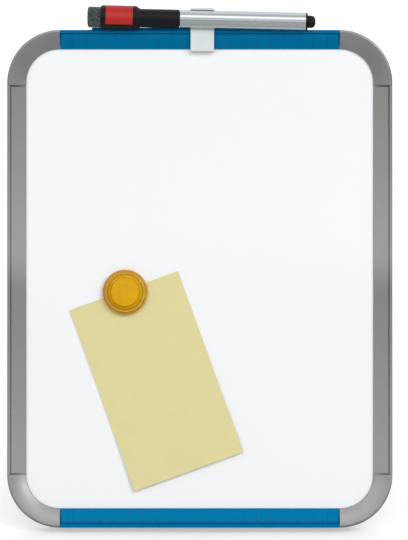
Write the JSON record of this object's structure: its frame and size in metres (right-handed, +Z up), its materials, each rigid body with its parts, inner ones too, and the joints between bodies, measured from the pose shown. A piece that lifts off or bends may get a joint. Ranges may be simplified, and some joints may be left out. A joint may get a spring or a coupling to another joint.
{
  "type": "magnetic desk whiteboard easel",
  "caption": "Small framed magnetic whiteboard on a folding easel leg, with a sliding marker clip, a capped marker with eraser, a round magnet and a paper note.",
  "frame": {"origin": "centre of the bounding box on the desk surface", "axes": "+Z up, +X to the right seen from the front, +Y away from the viewer; the writing face looks along -Y and leans back"},
  "size_m": [0.216, 0.1044, 0.2837],
  "materials": {
    "enamel_white": "glossy white enamel on steel sheet",
    "core_fibreboard": "brown fibreboard",
    "backing_grey": "thin galvanised backing sheet",
    "rail_blue": "blue lacquer over a ruled band",
    "rail_grey": "satin silver-grey",
    "corner_grey": "satin silver-grey moulding",
    "foot_rubber": "black rubber",
    "leg_grey": "dark grey moulded plastic",
    "plated_steel": "zinc-plated steel",
    "clip_white": "white moulded plastic",
    "barrel_silver": "silver, bright band along it",
    "marker_black": "satin black moulding",
    "nib_felt": "ink-soaked felt",
    "reservoir_fibre": "bonded fibre",
    "eraser_felt": "dark grey felt",
    "label_red": "plain red",
    "magnet_amber": "clear amber moulding",
    "magnet_ferrite": "sintered ferrite",
    "note_yellow": "pale yellow paper"
  },
  "bodies": {
    "board": {"writing_sheet": "enamel_white", "core_board": "core_fibreboard", "backing_sheet": "backing_grey", "top_rail": "rail_blue", "bottom_rail": "rail_blue", "side_rail_left": "rail_grey", "side_rail_right": "rail_grey", "corner_top_left": "corner_grey", "corner_top_right": "corner_grey", "corner_bottom_left": "corner_grey", "corner_bottom_right": "corner_grey", "board_feet": "foot_rubber", "hinge_bracket": "leg_grey", "bracket_screws": "plated_steel", "hinge_pin": "plated_steel"},
    "leg": {"easel_leg": "leg_grey", "leg_foot_pad": "foot_rubber"},
    "clip": {"marker_clip": "clip_white"},
    "marker": {"marker_barrel": "barrel_silver", "marker_end_plug": "marker_black", "nib_holder": "marker_black", "marker_nib": "nib_felt", "ink_reservoir": "reservoir_fibre"},
    "cap": {"marker_cap": "marker_black", "eraser_felt": "eraser_felt", "cap_label_plate": "label_red"},
    "magnet": {"magnet_cover": "magnet_amber", "magnet_disc": "magnet_ferrite"},
    "note": {"paper_note": "note_yellow"}
  },
  "joints": [
    {"name": "leg_fold", "type": "hinge", "parent": "board", "child": "leg", "pos_m": [0, 0.01661, 0.18381], "axis": [-1, 0, 0], "range_deg": [0, 28.25]},
    {"name": "clip_slide", "type": "slide", "parent": "board", "child": "clip", "axis": [1, 0, 0], "range_m": [-0.073, 0.07]},
    {"name": "marker_pull", "type": "slide", "parent": "clip", "child": "marker", "axis": [0, -0.9511, 0.309], "range_m": [0, 0.03]},
    {"name": "cap_pull", "type": "slide", "parent": "marker", "child": "cap", "axis": [-0.9998, 0.0067, 0.0207], "range_m": [0, 0.045]},
    {"name": "magnet_lift", "type": "slide", "parent": "board", "child": "magnet", "axis": [0, -0.9511, 0.309], "range_m": [0, 0.02]},
    {"name": "note_swing", "type": "hinge", "parent": "board", "child": "note", "pos_m": [-0.04185, -0.00906, 0.12907], "axis": [0, -0.9511, 0.309], "range_deg": [-30, 90]}
  ]
}
